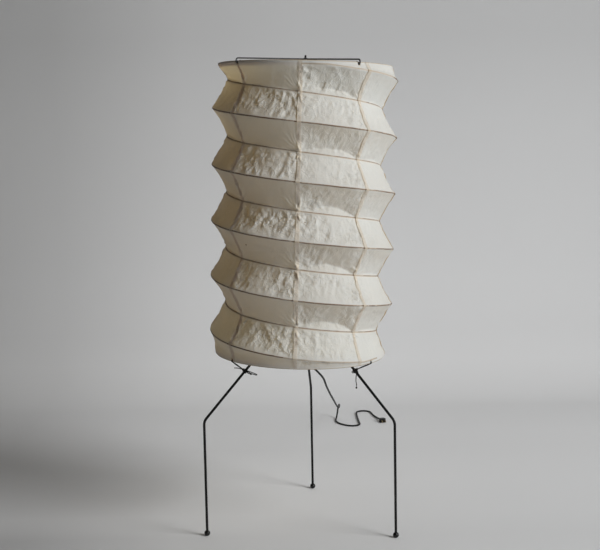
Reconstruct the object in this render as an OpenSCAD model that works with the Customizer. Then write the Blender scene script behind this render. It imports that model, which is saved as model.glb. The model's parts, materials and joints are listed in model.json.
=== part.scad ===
// Paper lantern floor lamp: a tripod of bent steel rod carries an upright stem, and a crossbar on the
// stem's tip carries a pleated paper shade that is wound on two bamboo helices.
// Millimetres, +Z up. The origin is on the floor under the stem, and the front is -Y.
// Angles round the lamp count from the front towards +X.

/* [Shade] */
// Radius of the paper over the outer helix
ridge_r = 250; // [225:1:310]
// Radius of the paper over the inner helix
valley_r = 209; // [190:1:224]
// Height from the bottom ring to the top ring
shade_h = 780; // [640:5:940]
// Height of the bottom ring over the floor
shade_z = 479; // [470:1:520]
// Turns that each helix makes
helix_turns = 5.183; // [3:0.05:7]
// Paper sheets round the shade
gore_count = 8; // [8:4:12]
// Angle of the seam where the outer helix starts
seam_angle = -3.3; // [-45:0.1:45]
// Thickness of the paper, with its paste
paper_t = 0.8; // [0.5:0.1:1.2]
// Gap between neighbouring sheets, and from the paper to the bamboo
paper_gap = 0.3; // [0.2:0.05:0.5]
// Thickness of the bamboo helices
rib_d = 3.5; // [2.5:0.1:4.5]
// Radius of the two end rings, to the middle of their rod
ring_r = 232; // [225:1:245]
// Thickness of the end rings
ring_d = 4; // [3:0.1:5]

/* [Stand] */
// Thickness of the leg rod
leg_d = 7; // [6:0.1:9]
// Radius of the circle that the feet stand on
foot_circle_r = 294; // [245:1:355]
// Height of the knee, where the leg's two straight runs would meet
knee_z = 316; // [265:1:320]
// Inside radius that the knee is bent to
knee_r = 21.5; // [15:0.5:40]
// Rise of the upper run over level
leg_rise = 45.6; // [42:0.1:50]
// Angle that the stand is turned by, so that the rear foot lies a little to the right
stand_yaw = -4.9; // [-20:0.1:20]
// Diameter of the ball feet
foot_d = 16; // [14:0.5:20]
// Height of the cut across the bottom of a ball foot
foot_flat = 0.6; // [0.3:0.1:1.2]
// Radius of the hub
hub_r = 32; // [30:0.5:40]
// Radius at which the leg axes meet the hub's cone
hub_meet_r = 20; // [19:0.5:22]
// Depth of the leg sockets along the leg
socket_depth = 18; // [14:0.5:18]
// Diameter of the stem
stem_d = 8; // [7:0.1:10]
// Height of the stem's tip over the top ring
stem_tip_over_top = 29; // [25:0.5:40]
// Lean of the stem and the shade to the right
lean_right = 2.1; // [-2.5:0.1:2.5]
// Lean of the stem and the shade to the front
lean_front = 1.3; // [-2.5:0.1:2.5]
// Radial clearance of rods in their sockets
socket_gap = 0.1; // [0.05:0.01:0.15]
// Diameter of the grub screws in the hub
grub_d = 4; // [3:0.5:5]

/* [Crossbar] */
// Thickness of the crossbar wire
bar_d = 3.8; // [3:0.1:4.5]
// Turn of the crossbar's first wire from +X towards the back
bar_angle = 42; // [30:1:45]
// Angle from the second wire round to the first
bar_cross = 97; // [80:1:100]
// How far the wires rise from the curls to the sleeve
bar_rise = 10; // [0:0.5:14]
// Inside radius of the curl at each end
curl_r = 4.5; // [4:0.1:6]
// Diameter of the sleeve that drops over the stem
sleeve_d = 10; // [10:0.5:16]
// Height of the sleeve
sleeve_h = 6; // [6:0.5:12]
// Diameter of the stem's seat in the sleeve
seat_d = 6; // [5:0.1:6.5]
// Diameter of the stem's free tip over the sleeve
tip_d = 5.5; // [4.5:0.1:5.5]
// Radial clearance of the sleeve on its seat
sleeve_gap = 0.1; // [0.05:0.01:0.3]
// How far the curl at each end goes round
curl_turn = 285; // [240:5:290]

/* [Lampholder] */
// Distance from the stem to the lampholder
holder_offset = 44; // [42:0.5:55]
// Thickness of the bracket plate
bracket_t = 2; // [1.5:0.1:3]
// Width of the bracket plate
bracket_w = 18; // [16:0.5:24]
// Outside diameter of the lampholder shell
holder_d = 40; // [38:0.5:44]
// Height of the lampholder cap
cap_h = 22; // [20:0.5:28]
// Height of the lampholder shell
shell_h = 36; // [32:0.5:42]
// Wall of the cap and shell
holder_wall = 1.2; // [1:0.1:1.6]
// Diameter of the threaded tube that holds the lampholder
tube_d = 9.8; // [9.5:0.1:10.5]
// Bore of the threaded tube
tube_bore = 6.8; // [6.6:0.1:7.2]
// Diameter of the bulb's glass
bulb_d = 60; // [55:1:66]
// Height of the bulb's glass over its cap
bulb_h = 84; // [78:1:92]
// Diameter of the bulb's screw cap
bulb_cap_d = 26; // [25.5:0.1:26.2]
// Diameter of the switch knob
knob_d = 15; // [12:0.5:18]
// Length of the switch knob
knob_l = 12; // [10:0.5:16]

/* [Ties] */
// Thickness of the tie string
string_d = 2.6; // [2:0.1:3]
// Drop of the knots on the legs below the bottom ring
tie_drop = 39; // [35:1:45]
// Angle of the left tie on the bottom ring
tie_left_angle = -50; // [-60:1:-44]
// Angle of the right tie on the bottom ring
tie_right_angle = 53; // [48:1:60]
// Angle of the rear tie on the bottom ring
tie_rear_angle = 175; // [165:1:180]

/* [Cord] */
// Diameter of the cord
cord_d = 6; // [5.5:0.1:6.4]
// Length of the tapered strain relief
relief_l = 30; // [20:1:60]
// Width of the plug body
plug_w = 22; // [20:0.5:26]
// Thickness of the plug body
plug_t = 15; // [13:0.5:17]
// Length of the plug body
plug_l = 27; // [24:0.5:34]
// Distance between the plug's blades
blade_pitch = 12.7; // [12.6:0.1:12.8]
// Route of the free cord, from the strain relief to the plug
cord_points = [
    [-29.4, 32.7, 585.7],
    [-28, 36, 556],
    [-19, 54, 512],
    [-3, 82, 466],
    [21, 116, 422],
    [46, 160, 388],
    [62, 217, 358],
    [74, 330, 309],
    [92, 550, 235],
    [124, 940, 110],
    [135, 1080, 73],
    [139, 1140, 64],
    [140.5, 1178, 60.5],
    [140, 1199, 57],
    [138.5, 1213.5, 49],
    [136, 1221, 35],
    [133.5, 1219, 19.5],
    [130.5, 1208, 8],
    [128, 1191, 3.6],
    [126, 1170, 3.2],
    [127.5, 1145, 3.2],
    [136, 1118, 3.2],
    [151, 1095.5, 3.2],
    [167.5, 1079.5, 3.2],
    [181.5, 1072.5, 3.2],
    [197, 1074, 3.2],
    [209, 1084, 3.2],
    [214, 1099, 3.2],
    [213.5, 1130, 3.2],
    [211.5, 1185, 3.2],
    [210.5, 1245, 3.2],
    [212, 1288, 3.2],
    [217.5, 1305, 3.2],
    [231, 1315.5, 3.2],
    [247.5, 1315.5, 3.2],
    [262, 1304.5, 3.2],
    [268, 1288, 3.2],
    [275, 1240, 3.2],
    [287, 1189, 4.6],
    [297, 1152, 7.5]
];

/* [Hidden] */
$fn = 48;

// Clearances: between faces that meet, and between pieces that are set apart
touch_gap = 0.05;
rest_gap = 0.3;

// Legs: left, right and rear, a third of a turn apart
leg_angles = [-60 + stand_yaw, 60 + stand_yaw, 180 + stand_yaw];
tie_angles = [tie_left_angle, tie_right_angle, tie_rear_angle];
knee_bend_r = knee_r + leg_d / 2;
knee_turn = 90 - leg_rise;
// A bend is a trace thicker than its straight runs, which reach a little way into it
bend_swell = 0.05;
bend_lap = 0.5;
knee_tangent = knee_bend_r * tan(knee_turn / 2);
hub_meet_z = knee_z + (foot_circle_r - hub_meet_r) * tan(leg_rise);
leg_run = (foot_circle_r - hub_meet_r) / cos(leg_rise) + socket_depth - knee_tangent - rest_gap;

// Foot: the ball is cut flat on the floor, and the leg stands in it on a floor of ball_floor
ball_z = foot_d / 2 - foot_flat;
ball_floor = 5;

// Hub: a cone that the legs enter square, under a plain drum
hub_cone_low_r = 2 * hub_meet_r - hub_r;
hub_cone_low_z = hub_meet_z - (hub_meet_r - hub_cone_low_r);
hub_cone_top_z = hub_meet_z + (hub_r - hub_meet_r);
hub_drum_h = 22;
hub_top_z = hub_cone_top_z + hub_drum_h;
hub_edge = 2;
stem_socket_depth = 16;
grub_z = hub_meet_z + 10;
stem_grub_z = hub_top_z - stem_socket_depth / 2;
grub_recess = 2;
grub_tip_gap = 0.2;

// Shade and crossbar heights
top_z = shade_z + shade_h;
stem_tip_z = top_z + stem_tip_over_top;
curl_mid_r = curl_r + bar_d / 2;
ring_in_curl = curl_r - ring_d / 2 - paper_gap;
curl_z = top_z + ring_in_curl;
bar_z = curl_z + curl_mid_r;
bar_half = ring_r;
sleeve_mid_z = bar_z + bar_rise;
seat_z = sleeve_mid_z - sleeve_h / 2;
bar_turns = [bar_angle, bar_angle - bar_cross];

// Ties
loop_mid_r = ring_d / 2 + paper_gap + string_d / 2;
tie_slit = string_d + 2 * paper_gap;
slit_reach = 12;
tie_slit_top = shade_z + loop_mid_r + string_d / 2 + paper_gap;
hook_slit = bar_d + 2 * paper_gap;
hook_slit_low = curl_z - curl_mid_r - bar_d / 2 - paper_gap;
hook_angles = [for (b = bar_turns) each [b + 90, b - 90]];
tie_z = shade_z - tie_drop;
tie_rho = foot_circle_r - (tie_z - knee_z) / tan(leg_rise);
wrap_inner_r = leg_d / 2 + paper_gap;
wrap_outer_r = wrap_inner_r + string_d;
wrap_l = 3 * string_d;
knot_r = 3.6;
knot_out = wrap_inner_r + knot_r + 2;
tail_l = 16;

// Paper and bamboo
gore_angle = 360 / gore_count;
gore_columns = 4;
station_angle = gore_angle / gore_columns;
pitch = shade_h / helix_turns;
helix_end = gore_angle * ceil(helix_turns * gore_count);
hem_h = ring_d / 2 + 0.5;
rib_r = rib_d / 2;
rim_paper_r = (ring_r + ring_d / 2 + paper_gap) / cos(station_angle / 2) + paper_t;
rib_lift = loop_mid_r + string_d / 2 + paper_gap + rib_r;
// Height over which each helix grows out of an end ring, from its run in height for a millimetre of radius
ridge_run = 1.8;
valley_run = 0.92;
ridge_ramp = ridge_run * (ridge_r - rim_paper_r);
valley_ramp = valley_run * (rim_paper_r - valley_r);
band_slope = atan((ridge_r - valley_r) / (pitch / 2));
ridge_seat = paper_t + (rib_r + paper_gap) / cos(band_slope);
valley_seat = paper_t + paper_gap + rib_r;
seam_half_gap = paper_gap / 2;
rib_sides = 6;

// Lampholder heights, from the bracket up
holder_x = -holder_offset * sin(bar_angle);
holder_y = holder_offset * cos(bar_angle);
bracket_z = hub_top_z;
cap_z = bracket_z + bracket_t;
shell_z = cap_z + cap_h;
nut_h = 4;
tube_below_nut = 10;
tube_over_cap = 8;
tube_low_z = bracket_z - nut_h - tube_below_nut;
tube_high_z = cap_z + tube_over_cap;
tube_gap = 0.2;
block_h = 20;
block_z = tube_high_z + rest_gap;
block_top_z = block_z + block_h;
contact_h = 3;
bulb_cap_h = 25;
bulb_cap_z = block_top_z + contact_h + rest_gap;
screw_shell_wall = 0.5;
screw_shell_gap = 0.35;
glass_z = bulb_cap_z + bulb_cap_h;
glass_wall = 1;
holder_inner_r = holder_d / 2 - holder_wall;
bead_h = 2;
knob_shaft_d = 4;
knob_shaft_gap = 0.15;
knob_z = cap_z + cap_h / 2;
knob_start = holder_d / 2 + 4 * rest_gap;
knob_shaft_in = 3;

// Cord
cord_r = cord_d / 2;
cord_sides = 8;
cord_steps = 2;
relief_top_r = tube_d / 2 + 1.6;
relief_low_r = cord_r + 0.7;
relief_gap = 0.1;
relief_z = tube_low_z - relief_l;
blade_w = 6.35;
blade_t = 1.5;
blade_l = 17;
blade_root = 8;
plug_collar_l = 8;
plug_bevel = 6;
blade_x = plug_l - blade_root + rest_gap + touch_gap;
plug_at = cord_points[len(cord_points) - 1];
plug_before = cord_points[len(cord_points) - 2];
plug_turn = atan2(plug_at[1] - plug_before[1], plug_at[0] - plug_before[0]);

// ---- small helpers ----

// A point at a radius, an angle from the front, and a height
function polar(r, a, z) = [r * sin(a), -r * cos(a), z];
function unit(v) = v / norm(v);
function ease(x) = let(c = max(0, min(1, x))) c * c * (3 - 2 * c);
function spline(p0, p1, p2, p3, t) =
    0.5 * (2 * p1 + (p2 - p0) * t + (2 * p0 - 5 * p1 + 4 * p2 - p3) * t * t
        + (3 * p1 - p0 - 3 * p2 + p3) * t * t * t);
function smooth_path(points, steps) =
    let(last = len(points) - 1) [
        for (i = [0:last - 1]) for (k = [0:steps - 1])
            spline(points[max(i - 1, 0)], points[i], points[i + 1], points[min(i + 2, last)], k / steps),
        points[last]
    ];
function tangents(path) =
    let(last = len(path) - 1) [
        for (i = [0:last]) unit(path[min(i + 1, last)] - path[max(i - 1, 0)])
    ];
function carried(t, side, i = 0) =
    i == len(t) ? [] : let(s = unit(side - (side * t[i]) * t[i])) concat([s], carried(t, s, i + 1));

// Joins rings of equal size into a closed solid, with flat ends
module skin_of(rings) {
    n = len(rings[0]);
    last = len(rings) - 1;
    points = [for (ring = rings) for (p = ring) p];
    walls = [
        for (i = [0:last - 1]) for (k = [0:n - 1])
            let(a = i * n + k, b = i * n + (k + 1) % n)
            each [[a, b, b + n], [a, b + n, a + n]]
    ];
    start_cap = [for (k = [1:n - 2]) [0, k + 1, k]];
    end_cap = [for (k = [1:n - 2]) [last * n, last * n + k, last * n + k + 1]];
    polyhedron(points = points, faces = concat(walls, start_cap, end_cap), convexity = 10);
}

module swept_tube(path, r, sides) {
    t = tangents(path);
    side = carried(t, [1, 0.2, 0.1]);
    skin_of([
        for (i = [0:len(path) - 1])
            let(u = side[i], v = cross(t[i], u))
            [for (k = [0:sides - 1]) path[i] + r * (cos(-k * 360 / sides) * u + sin(-k * 360 / sides) * v)]
    ]);
}

// A straight round rod between two points
module rod(a, b, r) {
    d = b - a;
    translate(a) rotate([0, acos(d[2] / norm(d)), atan2(d[1], d[0])]) cylinder(h = norm(d), r = r);
}

module tube(r_out, r_in, h) {
    difference() {
        cylinder(h = h, r = r_out);
        translate([0, 0, -1]) cylinder(h = h + 2, r = r_in);
    }
}

module ring(mid_r, rod_r, angle = 360) {
    rotate_extrude(angle = angle) translate([mid_r, 0]) circle(rod_r, $fn = 24);
}

// Puts a child that lies in the XZ plane at an angle round the lamp
module facing(a) { rotate([0, 0, a - 90]) children(); }

// The stem and all that hangs on it lean about the middle of the hub's top
module leaning() {
    translate([0, 0, hub_top_z]) rotate([lean_front, lean_right, 0])
        translate([0, 0, -hub_top_z]) children();
}

function leaning_point(p) =
    let(
        q = p - [0, 0, hub_top_z],
        y = q[1] * cos(lean_front) - q[2] * sin(lean_front),
        z = q[1] * sin(lean_front) + q[2] * cos(lean_front)
    )
    [
        q[0] * cos(lean_right) + z * sin(lean_right),
        y,
        hub_top_z - q[0] * sin(lean_right) + z * cos(lean_right)
    ];

module at_holder(z) { translate([holder_x, holder_y, z]) children(); }

// ---- stand ----

module leg(a) {
    color("#1c1c1c") facing(a) {
        translate([foot_circle_r, 0, ball_floor])
            cylinder(h = knee_z - knee_tangent - ball_floor + bend_lap, d = leg_d);
        translate([foot_circle_r - knee_bend_r, 0, knee_z - knee_tangent])
            rotate([90, 0, 0]) ring(knee_bend_r, leg_d / 2 + bend_swell, knee_turn);
        translate([foot_circle_r - knee_tangent * cos(leg_rise), 0, knee_z + knee_tangent * sin(leg_rise)])
            rotate([0, leg_rise - 90, 0]) translate([0, 0, -bend_lap])
                cylinder(h = leg_run + bend_lap, d = leg_d);
    }
}

module foot(a) {
    color("#161616") facing(a) translate([foot_circle_r, 0, 0]) difference() {
        translate([0, 0, ball_z]) sphere(d = foot_d);
        translate([0, 0, -foot_d]) cylinder(h = foot_d, d = 2 * foot_d);
        translate([0, 0, ball_floor]) cylinder(h = foot_d, r = leg_d / 2 + socket_gap);
    }
}

module hub() {
    color("#202020") difference() {
        rotate_extrude() polygon([
            [0, hub_cone_low_z], [hub_cone_low_r, hub_cone_low_z], [hub_r, hub_cone_top_z],
            [hub_r, hub_top_z - hub_edge], [hub_r - hub_edge, hub_top_z], [0, hub_top_z]
        ]);
        for (a = leg_angles) facing(a) {
            translate([hub_meet_r, 0, hub_meet_z]) rotate([0, leg_rise - 90, 0])
                translate([0, 0, -hub_r]) cylinder(h = hub_r + socket_depth, r = leg_d / 2 + socket_gap);
            translate([hub_meet_r / 2, 0, grub_z]) rotate([0, 90, 0])
                cylinder(h = hub_r, r = grub_d / 2 + socket_gap);
        }
        leaning() {
            translate([0, 0, hub_top_z - stem_socket_depth])
                cylinder(h = stem_socket_depth + 2, r = stem_d / 2 + socket_gap);
            facing(stand_yaw) translate([0, 0, stem_grub_z]) rotate([0, 90, 0])
                cylinder(h = hub_r + 1, r = grub_d / 2 + socket_gap);
        }
    }
}

// The screws press on the legs, where each meets the edge of its slanted rod, and on the stem
module hub_grub_screws() {
    leg_rho = hub_meet_r - (grub_z - hub_meet_z) / tan(leg_rise);
    leg_side = leg_rho + leg_d / 2 / sin(leg_rise) + grub_d / 2 / tan(leg_rise) + grub_tip_gap;
    stem_side = stem_d / 2 + grub_tip_gap;
    color("#555555") {
        for (a = leg_angles) facing(a) translate([leg_side, 0, grub_z])
            rotate([0, 90, 0]) grub_screw(hub_r - leg_side - grub_recess);
        leaning() facing(stand_yaw) translate([stem_side, 0, stem_grub_z])
            rotate([0, 90, 0]) grub_screw(hub_r - stem_side - grub_recess);
    }
}

// A grub screw with a hexagon socket in its outer end
module grub_screw(length) {
    difference() {
        cylinder(h = length, d = grub_d);
        translate([0, 0, length - grub_d / 2]) cylinder(h = grub_d, d = grub_d / 2, $fn = 6);
    }
}

module stem() {
    low_z = hub_top_z - stem_socket_depth + rest_gap;
    seat_top = seat_z + sleeve_h + rest_gap;
    color("#1c1c1c") leaning() {
        translate([0, 0, low_z]) cylinder(h = seat_z - low_z, d = stem_d);
        translate([0, 0, seat_z]) cylinder(h = seat_top - seat_z, d = seat_d);
        translate([0, 0, seat_top]) cylinder(h = stem_tip_z - tip_d / 4 - seat_top, d = tip_d);
        translate([0, 0, stem_tip_z - tip_d / 4]) cylinder(h = tip_d / 4, d1 = tip_d, d2 = tip_d / 2);
    }
}

// ---- lampholder, bulb and switch ----

module holder_bracket() {
    color("#202020") translate([0, 0, bracket_z]) difference() {
        rotate([0, 0, bar_angle + 90]) union() {
            translate([0, -bracket_w / 2, 0]) cube([holder_offset, bracket_w, bracket_t]);
            cylinder(h = bracket_t, d = bracket_w);
            translate([holder_offset, 0, 0]) cylinder(h = bracket_t, d = bracket_w);
        }
        translate([0, 0, -1]) cylinder(h = bracket_t + 2, r = stem_d / 2 + tube_gap);
        translate([holder_x, holder_y, -1]) cylinder(h = bracket_t + 2, r = tube_d / 2 + tube_gap);
    }
}

module threaded_tube() {
    color("#b9a15a") at_holder(tube_low_z) tube(tube_d / 2, tube_bore / 2, tube_high_z - tube_low_z);
}

module tube_nut() {
    color("#b9a15a") at_holder(bracket_z - nut_h) difference() {
        cylinder(h = nut_h, d = tube_d + 6, $fn = 6);
        translate([0, 0, -1]) cylinder(h = nut_h + 2, r = tube_d / 2 + tube_gap / 2);
    }
}

module holder_cap() {
    cap_r = holder_d / 2;
    color("#c9b072") at_holder(cap_z) difference() {
        rotate_extrude() polygon([
            [0, 0], [cap_r - 6, 0], [cap_r - 2, 2], [cap_r, 6], [cap_r, cap_h],
            [holder_inner_r, cap_h], [holder_inner_r, 6.5], [cap_r - 6.5, holder_wall], [0, holder_wall]
        ]);
        translate([0, 0, -1]) cylinder(h = holder_wall + 2, r = tube_d / 2 + tube_gap);
        rotate([0, 0, bar_angle + 90]) translate([holder_inner_r - 6, 0, cap_h / 2])
            rotate([0, 90, 0]) cylinder(h = 12, r = knob_shaft_d / 2 + knob_shaft_gap);
    }
}

module holder_block() {
    color("#e8e4da") at_holder(block_z) difference() {
        cylinder(h = block_h, r = holder_inner_r - rest_gap);
        rotate([0, 0, bar_angle + 90])
            translate([holder_inner_r - knob_shaft_in - 2 * rest_gap, 0, knob_z - block_z]) rotate([0, 90, 0])
                cylinder(h = 12, r = knob_shaft_d / 2 + knob_shaft_gap);
    }
}

module holder_shell() {
    color("#c9b072") at_holder(shell_z + touch_gap) union() {
        tube(holder_d / 2, holder_inner_r, shell_h);
        translate([0, 0, shell_h - 2 * bead_h])
            tube(holder_d / 2 + 0.8, holder_inner_r + holder_wall / 2, bead_h);
    }
}

module screw_shell() {
    inner = bulb_cap_d / 2 + screw_shell_gap;
    color("#c8a54a") at_holder(block_top_z) tube(inner + screw_shell_wall, inner, bulb_cap_h);
}

module centre_contact() {
    color("#c8a54a") at_holder(block_top_z) cylinder(h = contact_h, d = 9);
}

module bulb_cap() {
    neck = bulb_cap_d / 2;
    color("#b8b8b4") at_holder(bulb_cap_z) rotate_extrude() polygon([
        [0, 0], [4, 0], [5, 1.2], [neck - 2, 4], [neck, 5], [neck, bulb_cap_h], [0, bulb_cap_h]
    ]);
}

// The glass is a hollow ball that draws in to the neck along an arc
module bulb_glass() {
    color("#f4f2ea") at_holder(glass_z + touch_gap) difference() {
        rotate_extrude() polygon(bulb_outline(0, 0));
        rotate_extrude() polygon(bulb_outline(glass_wall, -1));
    }
}

function bulb_outline(inset, low) =
    let(
        ball_r = bulb_d / 2 - inset,
        ball_mid = bulb_h - bulb_d / 2,
        neck_r = bulb_cap_d / 2 - 0.4 - inset
    )
    concat(
        [[0, low], [neck_r, low], [neck_r, 6], [neck_r + 1.6, 16]],
        [for (a = [-50:10:80]) [ball_r * cos(a), ball_mid + ball_r * sin(a)]],
        [[0, ball_mid + ball_r]]
    );

module switch_knob() {
    color("#262220") at_holder(knob_z) rotate([0, 0, bar_angle + 90]) rotate([0, 90, 0]) union() {
        translate([0, 0, holder_inner_r - knob_shaft_in])
            cylinder(h = knob_start - holder_inner_r + knob_shaft_in, d = knob_shaft_d);
        translate([0, 0, knob_start]) difference() {
            cylinder(h = knob_l, d = knob_d);
            for (k = [0:11]) rotate([0, 0, 30 * k])
                translate([knob_d / 2 + 0.5, 0, 2]) cylinder(h = knob_l, d = 2.4);
        }
    }
}

// ---- cord and plug ----

module cord_strain_relief() {
    color("#141414") at_holder(relief_z) difference() {
        cylinder(h = relief_l, r1 = relief_low_r, r2 = relief_top_r);
        translate([0, 0, -1]) cylinder(h = relief_l + 2, r = cord_r + relief_gap);
        translate([0, 0, relief_l - 8]) cylinder(h = 9, r = tube_d / 2 + relief_gap);
    }
}

module cord_inner() {
    color("#141414") at_holder(relief_z + rest_gap)
        cylinder(h = tube_high_z - relief_z - rest_gap, r = cord_r);
}

module cord_free() { color("#141414") swept_tube(smooth_path(cord_points, cord_steps), cord_r, cord_sides); }

module at_plug() { translate(plug_at) rotate([0, 0, plug_turn]) children(); }

module plug_body() {
    color("#141414") at_plug() {
        translate([rest_gap, 0, 0]) rotate([0, 90, 0])
            cylinder(h = plug_collar_l, d1 = cord_d + 1.5, d2 = cord_d + 4);
        translate([plug_collar_l + rest_gap, 0, 0]) difference() {
            translate([0, -plug_w / 2, -plug_t / 2]) cube([plug_l - plug_collar_l, plug_w, plug_t]);
            for (s = [-1, 1]) translate([0, s * plug_w / 2, 0]) rotate([0, 0, 45 * s])
                cube([plug_bevel, plug_bevel, plug_t + 2], center = true);
            for (s = [-1, 1]) translate([
                plug_l - plug_collar_l - blade_root,
                s * blade_pitch / 2 - blade_t / 2 - touch_gap,
                -blade_w / 2 - touch_gap
            ]) cube([blade_root + 1, blade_t + 2 * touch_gap, blade_w + 2 * touch_gap]);
        }
    }
}

module plug_blades() {
    color("#b0a070") at_plug() for (s = [-1, 1])
        translate([blade_x, s * blade_pitch / 2 - blade_t / 2, -blade_w / 2])
            cube([blade_root + blade_l, blade_t, blade_w]);
}

// ---- ties ----

// The wraps and knot on a leg, with two short tails
module tie_knot(leg) {
    color("#171717") facing(leg_angles[leg]) translate([tie_rho, 0, tie_z]) rotate([0, leg_rise - 90, 0]) {
        translate([0, 0, -wrap_l / 2]) tube(wrap_outer_r, wrap_inner_r, wrap_l);
        translate([knot_out, 0, 0]) {
            sphere(r = knot_r, $fn = 24);
            for (s = [-1, 1]) rotate([130 * s, 0, 0]) cylinder(h = tail_l, d = string_d, $fn = 16);
        }
    }
}

function knot_centre(leg) =
    polar(tie_rho + knot_out * sin(leg_rise), leg_angles[leg], tie_z + knot_out * cos(leg_rise));

// The loop round the bottom ring and the strand that runs to the knot
module tie_string(leg) {
    loop_low = leaning_point(polar(ring_r, tie_angles[leg], shade_z - loop_mid_r));
    k = knot_centre(leg);
    strand_end = k + (knot_r + paper_gap) * unit(loop_low - k);
    color("#171717") {
        leaning() facing(tie_angles[leg]) translate([ring_r, 0, shade_z])
            rotate([90, 0, 0]) ring(loop_mid_r, string_d / 2);
        rod(loop_low, strand_end, string_d / 2);
    }
}

// ---- crossbar, rings, bamboo and paper ----

module crossbar() {
    color("#8a8a8c") leaning() difference() {
        union() {
            translate([0, 0, seat_z]) cylinder(h = sleeve_h, d = sleeve_d);
            for (b = bar_turns) for (s = [0, 180]) rotate([0, 0, b + s]) {
                rod([0, 0, sleeve_mid_z], [bar_half + bend_lap, 0, bar_z], bar_d / 2);
                translate([bar_half, 0, curl_z]) rotate([90, 0, 0]) rotate([0, 0, 90 - curl_turn])
                    ring(curl_mid_r, bar_d / 2 + bend_swell, curl_turn);
            }
        }
        translate([0, 0, seat_z - 1]) cylinder(h = sleeve_h + 2, r = seat_d / 2 + sleeve_gap);
    }
}

module end_ring(z) {
    color("#4a3d2c") leaning() translate([0, 0, z]) ring(ring_r, ring_d / 2, $fn = 96);
}

// Height of a helix after t degrees, held just inside the end rings
function helix_z(t) = max(shade_z + rib_lift, min(top_z - rib_lift, top_z - pitch * t / 360));
// Radius of the paper over a helix, which grows out of one ring and dies into the other
function helix_r(t, full_r) =
    let(
        below_top = pitch * t / 360,
        ramp = full_r > rim_paper_r ? ridge_ramp : valley_ramp
    )
    rim_paper_r + (full_r - rim_paper_r) * ease(below_top / ramp) * ease((shade_h - below_top) / ramp);

// A helix of bamboo inside the paper. The inner one starts half a turn later.
module rib(full_r, seat, start) {
    stations = round(helix_end / station_angle);
    color("#7a5a38") leaning() skin_of([
        for (i = [0:stations])
            let(
                t = i * station_angle,
                a = seam_angle + start + t,
                r = helix_r(t, full_r) - seat,
                z = helix_z(t)
            )
            [for (k = [0:rib_sides - 1])
                polar(r + rib_r * cos(k * 360 / rib_sides), a, z + rib_r * sin(k * 360 / rib_sides))]
    ]);
}

// One sheet of paper, from ring to ring. Row h follows a helix after theta + 180 h degrees:
// the even rows are ridges and the odd rows valleys.
module paper_gore(g) {
    start = gore_angle * g;
    first_row = ceil(-start / 180);
    last_row = floor((helix_end - start - gore_angle) / 180);
    edge_turn = seam_half_gap / ring_r * 180 / PI;
    columns = [for (j = [0:gore_columns]) start + station_angle * j];
    column_angles = [
        for (j = [0:gore_columns])
            seam_angle + columns[j] + (j == 0 ? edge_turn : j == gore_columns ? -edge_turn : 0)
    ];
    rims = [for (j = [0:gore_columns]) rim_paper_r];
    radii = concat(
        [rims, rims],
        [for (h = [first_row:last_row]) [
            for (c = columns) helix_r(c + 180 * h, h % 2 == 0 ? ridge_r : valley_r)
        ]],
        [rims, rims]
    );
    heights = concat(
        [[for (c = columns) top_z], [for (c = columns) top_z - hem_h]],
        [for (h = [first_row:last_row]) [for (c = columns) helix_z(c + 180 * h)]],
        [[for (c = columns) shade_z + hem_h], [for (c = columns) shade_z]]
    );
    rows = len(radii);
    wide = gore_columns + 1;
    outer = [for (i = [0:rows - 1]) for (j = [0:gore_columns])
        polar(radii[i][j], column_angles[j], heights[i][j])];
    inner = [for (i = [0:rows - 1]) for (j = [0:gore_columns])
        polar(radii[i][j] - paper_t, column_angles[j], heights[i][j])];
    n = rows * wide;
    faces = [
        for (i = [0:rows - 2]) for (j = [0:gore_columns - 1])
            let(p = i * wide + j, q = p + 1, u = p + wide, v = q + wide)
            each [[p, q, v], [p, v, u], [p + n, v + n, q + n], [p + n, u + n, v + n]],
        for (j = [0:gore_columns - 1])
            let(q = (rows - 1) * wide + j)
            each [[j, j + n, j + 1 + n], [j, j + 1 + n, j + 1], [q, q + 1, q + 1 + n], [q, q + 1 + n, q + n]],
        for (i = [0:rows - 2])
            let(p = i * wide, u = p + wide, q = p + gore_columns, v = u + gore_columns)
            each [[p, u, u + n], [p, u + n, p + n], [q, q + n, v + n], [q, v + n, v]]
    ];
    middle = seam_angle + start + gore_angle / 2;
    color(g % 2 == 0 ? "#e9e6dd" : "#dedad0") leaning() difference() {
        polyhedron(points = concat(outer, inner), faces = faces, convexity = 12);
        for (a = tie_angles) if (turn_between(a, middle) < gore_angle / 2 + 2)
            paper_slit(a, tie_slit, shade_z - 1, tie_slit_top);
        for (a = hook_angles) if (turn_between(a, middle) < gore_angle / 2 + 2)
            paper_slit(a, hook_slit, hook_slit_low, top_z + 1);
    }
}

function turn_between(a, b) = abs(((a - b) % 360 + 540) % 360 - 180);

// A slit at the edge of the paper, where a string or a hook goes round the ring
module paper_slit(a, width, low, high) {
    facing(a) translate([ring_r - slit_reach, -width / 2, low]) cube([2 * slit_reach, width, high - low]);
}

leg(leg_angles[0]);  // leg_front_left
leg(leg_angles[1]);  // leg_front_right
leg(leg_angles[2]);  // leg_rear
foot(leg_angles[0]);  // foot_front_left
foot(leg_angles[1]);  // foot_front_right
foot(leg_angles[2]);  // foot_rear
hub();
hub_grub_screws();
stem();
holder_bracket();
threaded_tube();
tube_nut();
holder_cap();
holder_block();
holder_shell();
screw_shell();
centre_contact();
switch_knob();
bulb_glass();
bulb_cap();
cord_strain_relief();
cord_inner();
cord_free();
plug_body();
plug_blades();
tie_knot(0);  // tie_knot_left
tie_knot(1);  // tie_knot_right
tie_knot(2);  // tie_knot_rear
tie_string(0);  // tie_string_left
tie_string(1);  // tie_string_right
tie_string(2);  // tie_string_rear
crossbar();
end_ring(top_z);  // top_ring
end_ring(shade_z);  // bottom_ring
rib(ridge_r, ridge_seat, 0);  // ridge_rib
rib(valley_r, valley_seat, 180);  // valley_rib
paper_gore(0);  // paper_gore_1
paper_gore(1);  // paper_gore_2
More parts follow.
